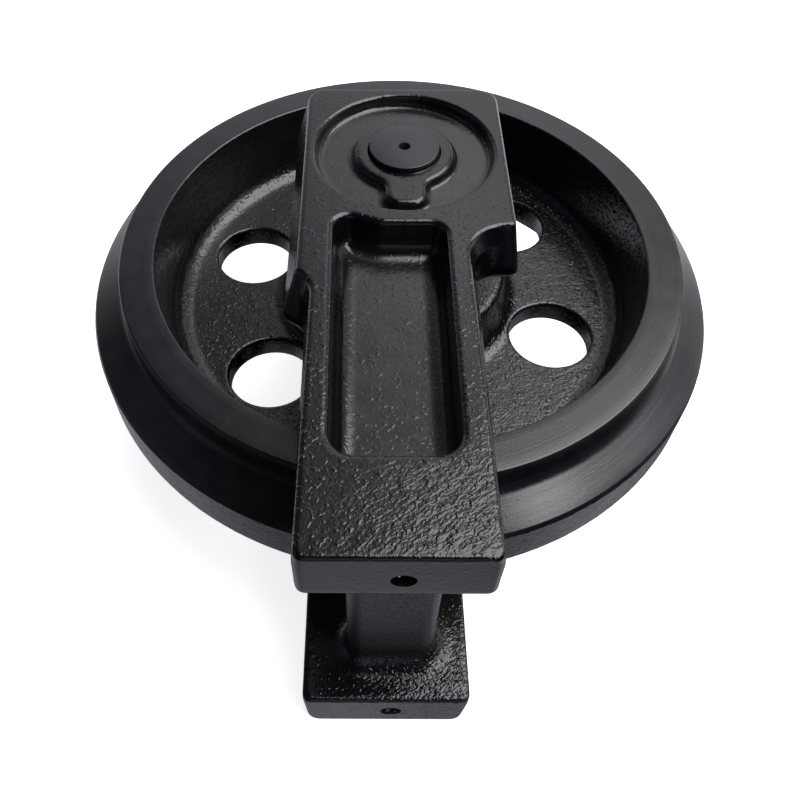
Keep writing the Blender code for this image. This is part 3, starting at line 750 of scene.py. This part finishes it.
def make_wheel():
    ob = revolve("wheel_casting", wheel_profile(), 640)
    mesh = ob.data
    co = positions(mesh)
    p = axle_frame(co.copy())
    rad, h = np.hypot(p[:, 0], p[:, 1]), p[:, 2]
    no = vertex_normals(mesh)
    cast = 1.0 - step(RIM_HALF - 3.0, RIM_HALF - 1.4, np.abs(h)) * (rad > 100.0)
    cast *= 1.0 - step(-0.1, 0.9, rad - 156.2) * (rad < 199.3)
    cast *= step(HUB_R - 3.0, HUB_R - 0.5, rad) * (1.0 - step(57.0, 59.0, np.abs(h)))
    band = step(199.7, 199.95, rad)                  # the flange's cast edge
    relief = cast_relief(p, 1.0, 1.0)
    skin = relief * cast * (1.0 - band)
    skin += band * (0.45 * (relief - 0.32))
    wobble = (cell_noise(p, 70.0, 8) - 0.5) * 0.12
    skin += cast * (1.0 - band) * wobble
    co += no * (skin * MM)[:, None]
    set_positions(mesh, co)

    holes = []
    for k in range(6):
        ang = math.radians(HOLE_FIRST + 60.0 * k)
        cx, cy = HOLE_PCR * math.cos(ang), HOLE_PCR * math.sin(ang)
        rings, edge = [(34.0, HOLE_R + 2.6), (WEB_TOP + 0.6, HOLE_R + 2.6)], 2.4
        for j in range(7):
            a = 0.5 * math.pi * j / 6
            rings.append((WEB_TOP - edge * (1.0 - math.cos(a)),
                          HOLE_R + edge * (1.0 - math.sin(a))))
        rings += [(-9.0, HOLE_R - 0.1), (-12.0, HOLE_R - 0.2), (-15.0, HOLE_R - 0.1)]
        for j in range(6, -1, -1):
            a = 0.5 * math.pi * j / 6
            rings.append((WEB_BOTTOM + edge * (1.0 - math.cos(a)),
                          HOLE_R + edge * (1.0 - math.sin(a))))
        rings += [(WEB_BOTTOM - 0.6, HOLE_R + 2.6), (-46.0, HOLE_R + 2.6)]
        made = loft("hole_%d" % k, [
            (lvl, [(cx + x, cy + y) for x, y in circle_points(r, 120)])
            for lvl, r in rings], 1)
        holes.append(made)
    combine(ob, holes, "DIFFERENCE", "MANIFOLD")
    mesh = ob.data
    cen = np.empty(len(mesh.polygons) * 3)
    mesh.polygons.foreach_get("center", cen)
    c = axle_frame(cen.reshape(-1, 3))
    dress(ob, WHEEL_CAST, TURNED, MACHINED)
    mesh.polygons.foreach_set(
        "material_index",
        wheel_zones(np.hypot(c[:, 0], c[:, 1]), c[:, 2]).astype(np.int32))
    smooth(ob, 38.0)
    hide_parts("idler_wheel")
    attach(ob, "wheel")
    return ob


# ----------------------------------------------------------------- brackets
def arc_levels(radius, steps):
    return [(radius * (1.0 - math.sin(0.5 * math.pi * k / steps)),
             radius * (1.0 - math.cos(0.5 * math.pi * k / steps)))
            for k in range(steps + 1)]


def upper_sections():
    side = offset_outline(UPPER_FLAT, 1.3)
    mid = blend_outline(side, UPPER_WIDE, 0.38)
    for k in (3, 6):
        mid[k] = (UPPER_WIDE[k][0], mid[k][1], mid[k][2])
    for k in (4, 5):
        mid[k] = UPPER_WIDE[k]
    return [(FACE_H, side), (FACE_H - 11.0, mid), (89.0, UPPER_WIDE), (60.0, UPPER_WIDE)]


def lower_sections():
    return [(FACE_H, LOWER_SIDE), (FACE_H - 8.0, LOWER_SIDE), (89.0, LOWER_WIDE),
            (60.0, LOWER_WIDE)]


def section_at(sections, h):
    for (h0, one), (h1, two) in zip(sections, sections[1:]):
        if h >= h1:
            return blend_outline(one, two, min(1.0, max(0.0, (h0 - h) / (h0 - h1))))
    return sections[-1][1]


def make_bracket(tag, side, flat, sections, outer_edge, inner_edge, inner_h, end_y):
    seg = 14
    rings = []
    for k in range(9):
        a = 0.5 * math.pi * k / 8
        h = FACE_H - outer_edge * (1.0 - math.cos(a))
        rings.append((h, outline_points(
            blend_outline(flat, section_at(sections, h), math.sin(a)), seg)))
    for h, outline in sections[1:-1]:
        if inner_h + inner_edge + 1.0 < h < rings[-1][0] - 0.5:
            rings.append((h, outline_points(outline, seg)))
    wide = sections[-1][1]
    for inset, drop in reversed(arc_levels(inner_edge, 8)):
        rings.append((inner_h + drop,
                      outline_points(offset_outline(wide, -inset), seg)))
    body = loft("bracket_casting_" + tag, rings, side)

    add = [loft("head_pad", [
        (90.0, outline_points(offset_outline(HEAD_OUTLINE, 0.6), seg)),
        (HEAD_INNER_H + 5.0, outline_points(HEAD_OUTLINE, seg)),
        (HEAD_INNER_H + 2.4, outline_points(offset_outline(HEAD_OUTLINE, -0.5), seg)),
        (HEAD_INNER_H + 0.7, outline_points(offset_outline(HEAD_OUTLINE, -2.0), seg)),
        (HEAD_INNER_H, outline_points(offset_outline(HEAD_OUTLINE, -4.6), seg))], side)]
    collar = [(96.0, SEAL_BOSS_R + 7.0), (HEAD_INNER_H - 0.4, SEAL_BOSS_R + 7.0)]
    collar += [(HEAD_INNER_H - 7.0 + 7.0 * math.cos(a), SEAL_BOSS_R + 7.0 - 7.0 * math.sin(a))
               for a in (0.5 * math.pi * k / 6 for k in range(1, 7))]
    collar += [(SEAL_BOSS_H + 1.5, SEAL_BOSS_R), (SEAL_BOSS_H, SEAL_BOSS_R - 1.5)]
    add.append(loft("seal_boss", [(h, circle_points(r, 96)) for h, r in collar], side))
    if side < 0:
        leg = [(90.0, outline_points(offset_outline(LEG_OUTLINE, 13.0), 12))]
        leg += [(LOWER_INNER_H - drop, outline_points(offset_outline(LEG_OUTLINE, off), 12))
                for off, drop in arc_levels(13.0, 10)]
        leg += [(-UPPER_INNER_H + GAP + 1.2, outline_points(LEG_OUTLINE, 12)),
                (-UPPER_INNER_H + GAP, outline_points(offset_outline(LEG_OUTLINE, -1.2), 12))]
        add.append(loft("leg", leg, side))
    combine(body, add, "UNION")

    recess = [(124.0, RECESS_R + 0.9), (FACE_H, RECESS_R + 0.9),
              (FACE_H - 0.35, RECESS_R + 0.1), (FACE_H - 1.2, RECESS_R - 0.3)]
    recess += [(RECESS_FLOOR + 3.0 * (1.0 - math.cos(a)),
                RECESS_R - 1.1 - 3.0 * (1.0 - math.sin(a)))
               for a in (0.5 * math.pi * (6 - k) / 6 for k in range(7))]
    combine(body, [loft("recess", [(h, circle_points(r, 160)) for h, r in recess],
                        side)], "DIFFERENCE")
    boss = [(98.0, 1.6), (RECESS_FLOOR, 1.6), (RECESS_FLOOR + 1.0, 0.9),
            (BOSS_TOP - 2.6, 0.0), (BOSS_TOP - 1.4, -0.35), (BOSS_TOP - 0.4, -1.3),
            (BOSS_TOP, -2.6)]
    combine(body, [loft("boss", [(h, keyhole_points(o, 12)) for h, o in boss],
                        side)], "UNION")
    pocket = [(124.0, 2.3)]
    pocket += [(FACE_H - 2.6 * (1.0 - math.cos(a)), 2.3 - 2.6 * math.sin(a))
               for a in (0.5 * math.pi * k / 6 for k in range(7))]
    pocket += [(POCKET_FLOOR + 9.5 * (1.0 - math.cos(a)),
                -1.9 - 9.5 * (1.0 - math.sin(a)))
               for a in (0.5 * math.pi * (9 - k) / 9 for k in range(10))]
    combine(body, [loft("pocket", [
        (h, outline_points(offset_outline(POCKET_OUTLINE, off), 14))
        for h, off in pocket], side)], "DIFFERENCE")

    voxels(body, VOXEL)
    mesh = body.data
    relax(mesh, 3)
    co = positions(mesh)
    p = axle_frame(co.copy())
    no = vertex_normals(mesh)
    x, y, h = p[:, 0], p[:, 1], p[:, 2] * side
    weight = np.ones(len(p))
    weight *= 1.0 - 0.75 * step(-end_y - 2.5, -end_y - 0.6, -y)   # dressed end face
    calm = 0.15 + 0.85 * step(-38.0, 20.0, x + 12.0 * (cell_noise(p, 25.0, 12) - 0.5))
    weight *= 0.20 + 0.15 * step(55.0, 110.0, -y) + 0.50 * calm * step(190.0, 228.0, -y)
    rise = cast_relief(p, 1.0, 1.0) * weight
    rise += (cell_noise(p, 60.0, 9) - 0.5) * 0.10 * weight
    co += no * (rise * MM)[:, None]
    co[:, 2] = np.maximum(co[:, 2], 0.0)
    co[:, 1] = np.maximum(co[:, 1], (end_y + AXLE_Y) * MM)
    set_positions(mesh, co)

    cuts = [
        rod("shaft_bore", SHAFT_R + GAP, (0, 0, side * 50.0), (0, 0, side * 124.0), 96),
        rod("seal_bore", SEAL_BORE_R, (0, 0, side * 50.0), (0, 0, side * 76.0), 96),
        rod("pin_hole", PIN_HOLE_R, (0, -62.9, side * PIN_H), (0, -12.0, side * PIN_H), 40)]
    place = (Matrix.Translation(Vector((TAP_X, end_y + AXLE_Y, MID_Z + side * TAP_H)) * MM)
             @ Matrix.Rotation(math.radians(90.0), 4, "X"))
    mouth = 0.35 if side > 0 else 1.25
    thread = [(0.0, 2.0), (TAP_R + mouth + 0.9, 2.0), (TAP_R + mouth, 0.0),
              (TAP_R + 0.1, -1.6)]
    pitch, depth = 1.75, 1.75
    while depth < TAP_DEPTH - 4.0:
        thread += [(TAP_R, -0.5 - depth - pitch * 0.45), (TAP_R, -0.5 - depth - pitch * 0.55),
                   (TAP_R + 0.45, -0.5 - depth - pitch)]
        depth += pitch
    thread += [(TAP_R, -depth - 1.2), (TAP_R, -TAP_DEPTH), (0.0, -TAP_DEPTH - 2.6)]
    cuts.append(revolve("tap", thread, 48, place))
    combine(body, cuts, "DIFFERENCE", "MANIFOLD")
    dress(body, CASTING)
    smooth(body, 40.0)
    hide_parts("bracket_" + tag)
    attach(body, "carrier")
    return body


# ------------------------------------------------- shaft, pins and oil plug
def make_shaft():
    prof = [(0.0, -6.0), (OIL_BORE_R, -4.0), (OIL_BORE_R, SHAFT_TOP - 1.0)]
    prof += [(OIL_BORE_R + 0.3, SHAFT_TOP - 0.4), (OIL_BORE_R + 0.6, SHAFT_TOP)]
    prof += fillet((SHAFT_R - 1.0, SHAFT_TOP), (5.0, SHAFT_TOP), (SHAFT_R - 1.0, 60.0),
                   0.45, 4)
    prof += [(SHAFT_R - 1.0, BOSS_TOP - 0.6), (SHAFT_R, BOSS_TOP - 1.6)]
    for s in (1, -1):
        top, low = s * GROOVE_H + GROOVE_HALF, s * GROOVE_H - GROOVE_HALF
        prof += [(SHAFT_R, top + 0.2), (SHAFT_R - 0.2, top), (GROOVE_R, top),
                 (GROOVE_R, low), (SHAFT_R - 0.2, low), (SHAFT_R, low - 0.2)]
    prof += fillet((SHAFT_R, SHAFT_BOTTOM + 1.3), (SHAFT_R, -60.0),
                   (SHAFT_R - 1.3, SHAFT_BOTTOM), 0.6, 4)
    prof += fillet((SHAFT_R - 1.3, SHAFT_BOTTOM), (SHAFT_R, SHAFT_BOTTOM + 1.3),
                   (5.0, SHAFT_BOTTOM), 0.6, 4)
    prof += [(3.2, SHAFT_BOTTOM), (2.9, SHAFT_BOTTOM + 0.3), (0.0, SHAFT_BOTTOM + 5.0)]
    ob = revolve("axle_shaft", prof, 144)
    cuts = [rod("pin_hole_%d" % s, PIN_HOLE_R, (0, -26.0, s * PIN_H),
                (0, PIN_DEEP, s * PIN_H), 40) for s in (1, -1)]
    cuts.append(rod("cross", 2.5, (0, 0, 0), (26.0, 0, 0), 24))
    combine(ob, cuts, "DIFFERENCE")
    mesh = ob.data
    cen = np.empty(len(mesh.polygons) * 3)
    mesh.polygons.foreach_get("center", cen)
    c = axle_frame(cen.reshape(-1, 3))
    dress(ob, END_PAINT, MACHINED, BORE_SHADE_PAINT)
    seen = (np.abs(c[:, 2]) > 113.0)
    # The bore's wall below the mouth gets the near-black material: painted shade inside the
    # hole.
    bore_shade_faces = (np.hypot(c[:, 0], c[:, 1]) < OIL_BORE_R + 0.25) & (np.abs(c[:, 2]) < SHAFT_TOP - 0.7)
    mesh.polygons.foreach_set("material_index",
                              np.where(bore_shade_faces, 2, np.where(seen, 0, 1)).astype(np.int32))
    smooth(ob, 30.0)
    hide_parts("idler_shaft")
    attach(ob, "carrier")


def make_small():
    for tag, s in (("upper", 1), ("lower", -1)):
        pin = rod("pin_steel_" + tag, PIN_R, (0.0, -62.6, s * PIN_H),
                  (0.0, PIN_DEEP - GAP - 0.1, s * PIN_H), 48, 0.6)
        dress(pin, CASTING)
        smooth(pin, 35.0)
        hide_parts("lock_pin_" + tag)
        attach(pin, "carrier")
    plug = rod("plug_body", OIL_BORE_R - GAP, (0, 0, 98.0), (0, 0, 107.0), 48, 0.4)
    combine(plug, [rod("socket", 1.4, (0, 0, 103.0), (0, 0, 112.0), 6)], "DIFFERENCE")
    # The plug gets the near-black material too: painted shade at the bottom of the hole.
    dress(plug, BORE_SHADE_PAINT)
    smooth(plug, 35.0)
    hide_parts("oil_plug")
    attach(plug, "carrier")


VOXEL = 1.0
make_wheel()
make_bracket("upper", 1, UPPER_FLAT, upper_sections(), 1.3, 6.0, UPPER_INNER_H,
             UPPER_END_Y)
make_bracket("lower", -1, LOWER_FLAT, lower_sections(), 8.0, 2.2, LOWER_INNER_H,
             LOWER_END_Y)
make_shaft()
make_small()

for name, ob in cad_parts.items():
    for key, mat in (("bush", BRONZE), ("seal_ring", RING_IRON),
                     ("toric", RUBBER), ("o_ring", RUBBER)):
        if key in name:
            dress(ob, mat)

# --------------------------------------------------------- floor and lights
def make_floor():
    mesh = bpy.data.meshes.new("floor")
    bm = bmesh.new()
    bmesh.ops.create_grid(bm, x_segments=1, y_segments=1, size=4.0)
    bm.to_mesh(mesh)
    bm.free()
    ob = new_object("floor", mesh)
    ob.location = (0.0, 0.0, -0.0004)
    mat, _, bsdf = principled("floor_paper", (0.80, 0.80, 0.80), 0.9, 0.0, 0.0)
    bsdf.inputs["Emission Color"].default_value = (1.0, 1.0, 1.0, 1.0)
    bsdf.inputs["Emission Strength"].default_value = 0.82
    dress(ob, mat)
    ob.visible_glossy = ob.visible_diffuse = ob.visible_shadow = False
    return ob


# Soft panels of light round the object: azimuth from +Y toward +X and height
# over the horizon in degrees, how tight the panel is, and its radiance.
PANELS = [
    (10, 45, 90, (1.379, 1.312, 1.388)),
    (72, 0, 90, (1.041, 0.952, 1.008)),
    (25, 60, 90, (0.283, 0.234, 0.191)),
    (0, 60, 90, (0.514, 0.513, 0.514)),
    (90, 20, 90, (0.951, 0.891, 0.959)),
    (36, 0, 16, (0.925, 0.900, 0.955)),
    (324, 0, 16, (0.861, 0.846, 0.897)),
    (36, 0, 90, (0.756, 0.753, 0.888)),
    (0, 25, 16, (0.846, 0.823, 0.855)),
    (72, 0, 16, (0.710, 0.654, 0.706)),
    (180, 0, 16, (0.483, 0.469, 0.689)),
    (315, -30, 16, (0.971, 0.996, 1.130)),
    (30, 25, 16, (0.535, 0.518, 0.550)),
    (90, -60, 16, (0.509, 0.500, 0.563)),
    (90, 25, 16, (0.442, 0.431, 0.492)),
    (30, 45, 90, (0.143, 0.123, 0.136)),
    (0, 0, 16, (0.367, 0.425, 0.540)),
    (180, -60, 16, (0.372, 0.367, 0.420)),
    (270, -60, 16, (0.392, 0.389, 0.445)),
    (180, 80, 90, (0.396, 0.411, 0.387)),
    (330, 25, 16, (0.209, 0.195, 0.228)),
    (252, 0, 16, (0.170, 0.175, 0.226)),
    (0, 50, 16, (0.073, 0.086, 0.144)),
    (270, 25, 16, (0.072, 0.075, 0.143)),
    (180, 25, 16, (0.047, 0.074, 0.033)),
    (135, -30, 16, (0.000, 0.005, 0.063)),
    (35, -20, 16, (1.000, 0.970, 1.030)),
    (180, -76, 60, (0.120, 0.118, 0.135)),
]
# Round soft boxes: azimuth, height, half its width, half the width of its
# fading edge, all in degrees, and its radiance.
BOXES = [
    (80, 61, 28, 5, (6.0, 5.85, 6.1)),
    (127, 44, 8, 5, (7.0, 6.7, 7.1)),
]
AROUND = (0.02, 0.02, 0.024)


def studio_world():
    world = bpy.data.worlds.new("studio")
    scene.world = world
    world.use_nodes = True
    tree = world.node_tree
    back = tree.nodes["Background"]
    way = node(tree, "ShaderNodeTexCoord").outputs["Generated"]
    total = None
    for azimuth, height, tight, colour in PANELS:
        a, e = math.radians(azimuth), math.radians(height)
        dot = node(tree, "ShaderNodeVectorMath")
        dot.operation = "DOT_PRODUCT"
        dot.inputs[1].default_value = (math.sin(a) * math.cos(e),
                                       math.cos(a) * math.cos(e), math.sin(e))
        tree.links.new(way, dot.inputs[0])
        glow = maths(tree, "POWER", maths(tree, "MAXIMUM", dot.outputs["Value"], 0.0),
                     tight)
        tint = node(tree, "ShaderNodeVectorMath")
        tint.operation = "SCALE"
        tint.inputs[0].default_value = colour
        tree.links.new(glow, tint.inputs["Scale"])
        add = node(tree, "ShaderNodeVectorMath")
        add.operation = "ADD"
        add.inputs[0].default_value = AROUND
        if total is not None:
            tree.links.new(total, add.inputs[0])
        tree.links.new(tint.outputs[0], add.inputs[1])
        total = add.outputs[0]
    for azimuth, height, half, edge, colour in BOXES:
        a, e = math.radians(azimuth), math.radians(height)
        dot = node(tree, "ShaderNodeVectorMath")
        dot.operation = "DOT_PRODUCT"
        dot.inputs[1].default_value = (math.sin(a) * math.cos(e),
                                       math.cos(a) * math.cos(e), math.sin(e))
        tree.links.new(way, dot.inputs[0])
        disc = node(tree, "ShaderNodeMapRange")
        disc.interpolation_type = "SMOOTHSTEP"
        disc.inputs["From Min"].default_value = math.cos(math.radians(half + edge))
        disc.inputs["From Max"].default_value = math.cos(math.radians(half - edge))
        tree.links.new(dot.outputs["Value"], disc.inputs["Value"])
        tint = node(tree, "ShaderNodeVectorMath")
        tint.operation = "SCALE"
        tint.inputs[0].default_value = colour
        tree.links.new(disc.outputs["Result"], tint.inputs["Scale"])
        add = node(tree, "ShaderNodeVectorMath")
        add.operation = "ADD"
        tree.links.new(total, add.inputs[0])
        tree.links.new(tint.outputs[0], add.inputs[1])
        total = add.outputs[0]
    tree.links.new(total, back.inputs["Color"])
    back.inputs["Strength"].default_value = 1.0
    return world


floor = make_floor()
world = studio_world()
scene.view_settings.view_transform = "Standard"
